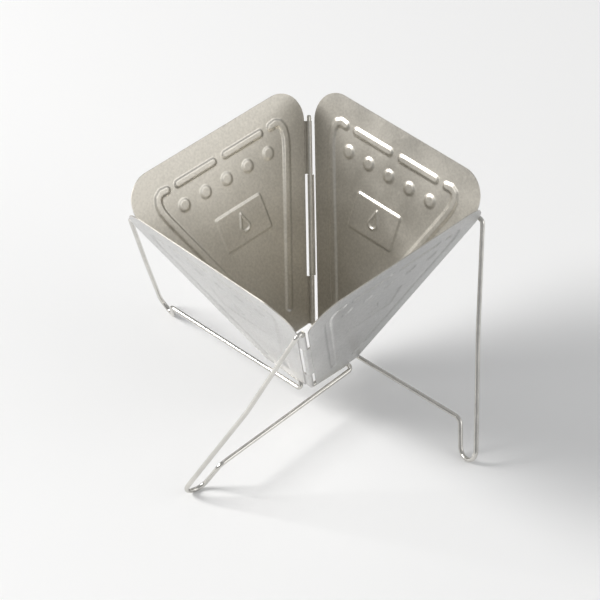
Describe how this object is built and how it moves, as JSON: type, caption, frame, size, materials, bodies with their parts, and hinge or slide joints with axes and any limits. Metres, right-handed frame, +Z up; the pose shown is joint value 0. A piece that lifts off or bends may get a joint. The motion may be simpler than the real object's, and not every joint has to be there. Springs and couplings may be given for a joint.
{
  "type": "folding coffee drip funnel",
  "caption": "Folding pour-over drip funnel: hinged sheet-steel panels make an upside-down pyramid standing on bent wire legs, whose wire is also the hinge pin.",
  "frame": {"origin": "on the ground, under the centre of the box around the opened funnel on its legs", "axes": "+Z up out of the funnel, -Y towards the hinge with the front leg, +X towards the hinge with the right leg"},
  "size_m": [0.1482, 0.1466, 0.1066],
  "materials": {
    "panel_steel": "satin stainless sheet",
    "pin_steel": "polished stainless pin",
    "leg_steel": "polished stainless wire"
  },
  "bodies": {
    "front_left": {"front_left_panel": "panel_steel"},
    "front_right": {"front_right_panel": "panel_steel"},
    "back_right": {"back_right_panel": "panel_steel"},
    "back_left": {"back_left_panel": "panel_steel", "back_hinge_knuckle": "panel_steel", "back_hinge_pin": "pin_steel"},
    "left_leg": {"left_leg": "leg_steel"},
    "front_leg": {"front_leg": "leg_steel"},
    "right_leg": {"right_leg": "leg_steel"}
  },
  "joints": [
    {"name": "fold_left", "type": "hinge", "parent": "front_left", "child": "back_left", "pos_m": [-0.04482, 0.00084, 0.05494], "axis": [0.5638, 0, -0.8259], "range_deg": [0, 90]},
    {"name": "fold_front", "type": "hinge", "parent": "front_left", "child": "front_right", "pos_m": [0, -0.04398, 0.05494], "axis": [0, 0.5638, -0.8259], "range_deg": [0, 88]},
    {"name": "fold_right", "type": "hinge", "parent": "front_right", "child": "back_right", "pos_m": [0.04482, 0.00084, 0.05494], "axis": [0.5638, 0, 0.8259], "range_deg": [0, 90]},
    {"name": "left_leg_swing", "type": "hinge", "parent": "front_left", "child": "left_leg", "pos_m": [-0.04482, 0.00084, 0.05494], "axis": [-0.5638, 0, 0.8259], "range_deg": [-26, 60]},
    {"name": "front_leg_swing", "type": "hinge", "parent": "front_left", "child": "front_leg", "pos_m": [0, -0.04398, 0.05494], "axis": [0, -0.5638, 0.8259], "range_deg": [-26, 0]},
    {"name": "right_leg_swing", "type": "hinge", "parent": "front_right", "child": "right_leg", "pos_m": [0.04482, 0.00084, 0.05494], "axis": [0.5638, 0, 0.8259], "range_deg": [-26, 30]}
  ],
  "couplings": [
    {"joint": "fold_front", "follows": "fold_left", "ratio": 0.97},
    {"joint": "fold_right", "follows": "fold_left", "ratio": 1}
  ]
}
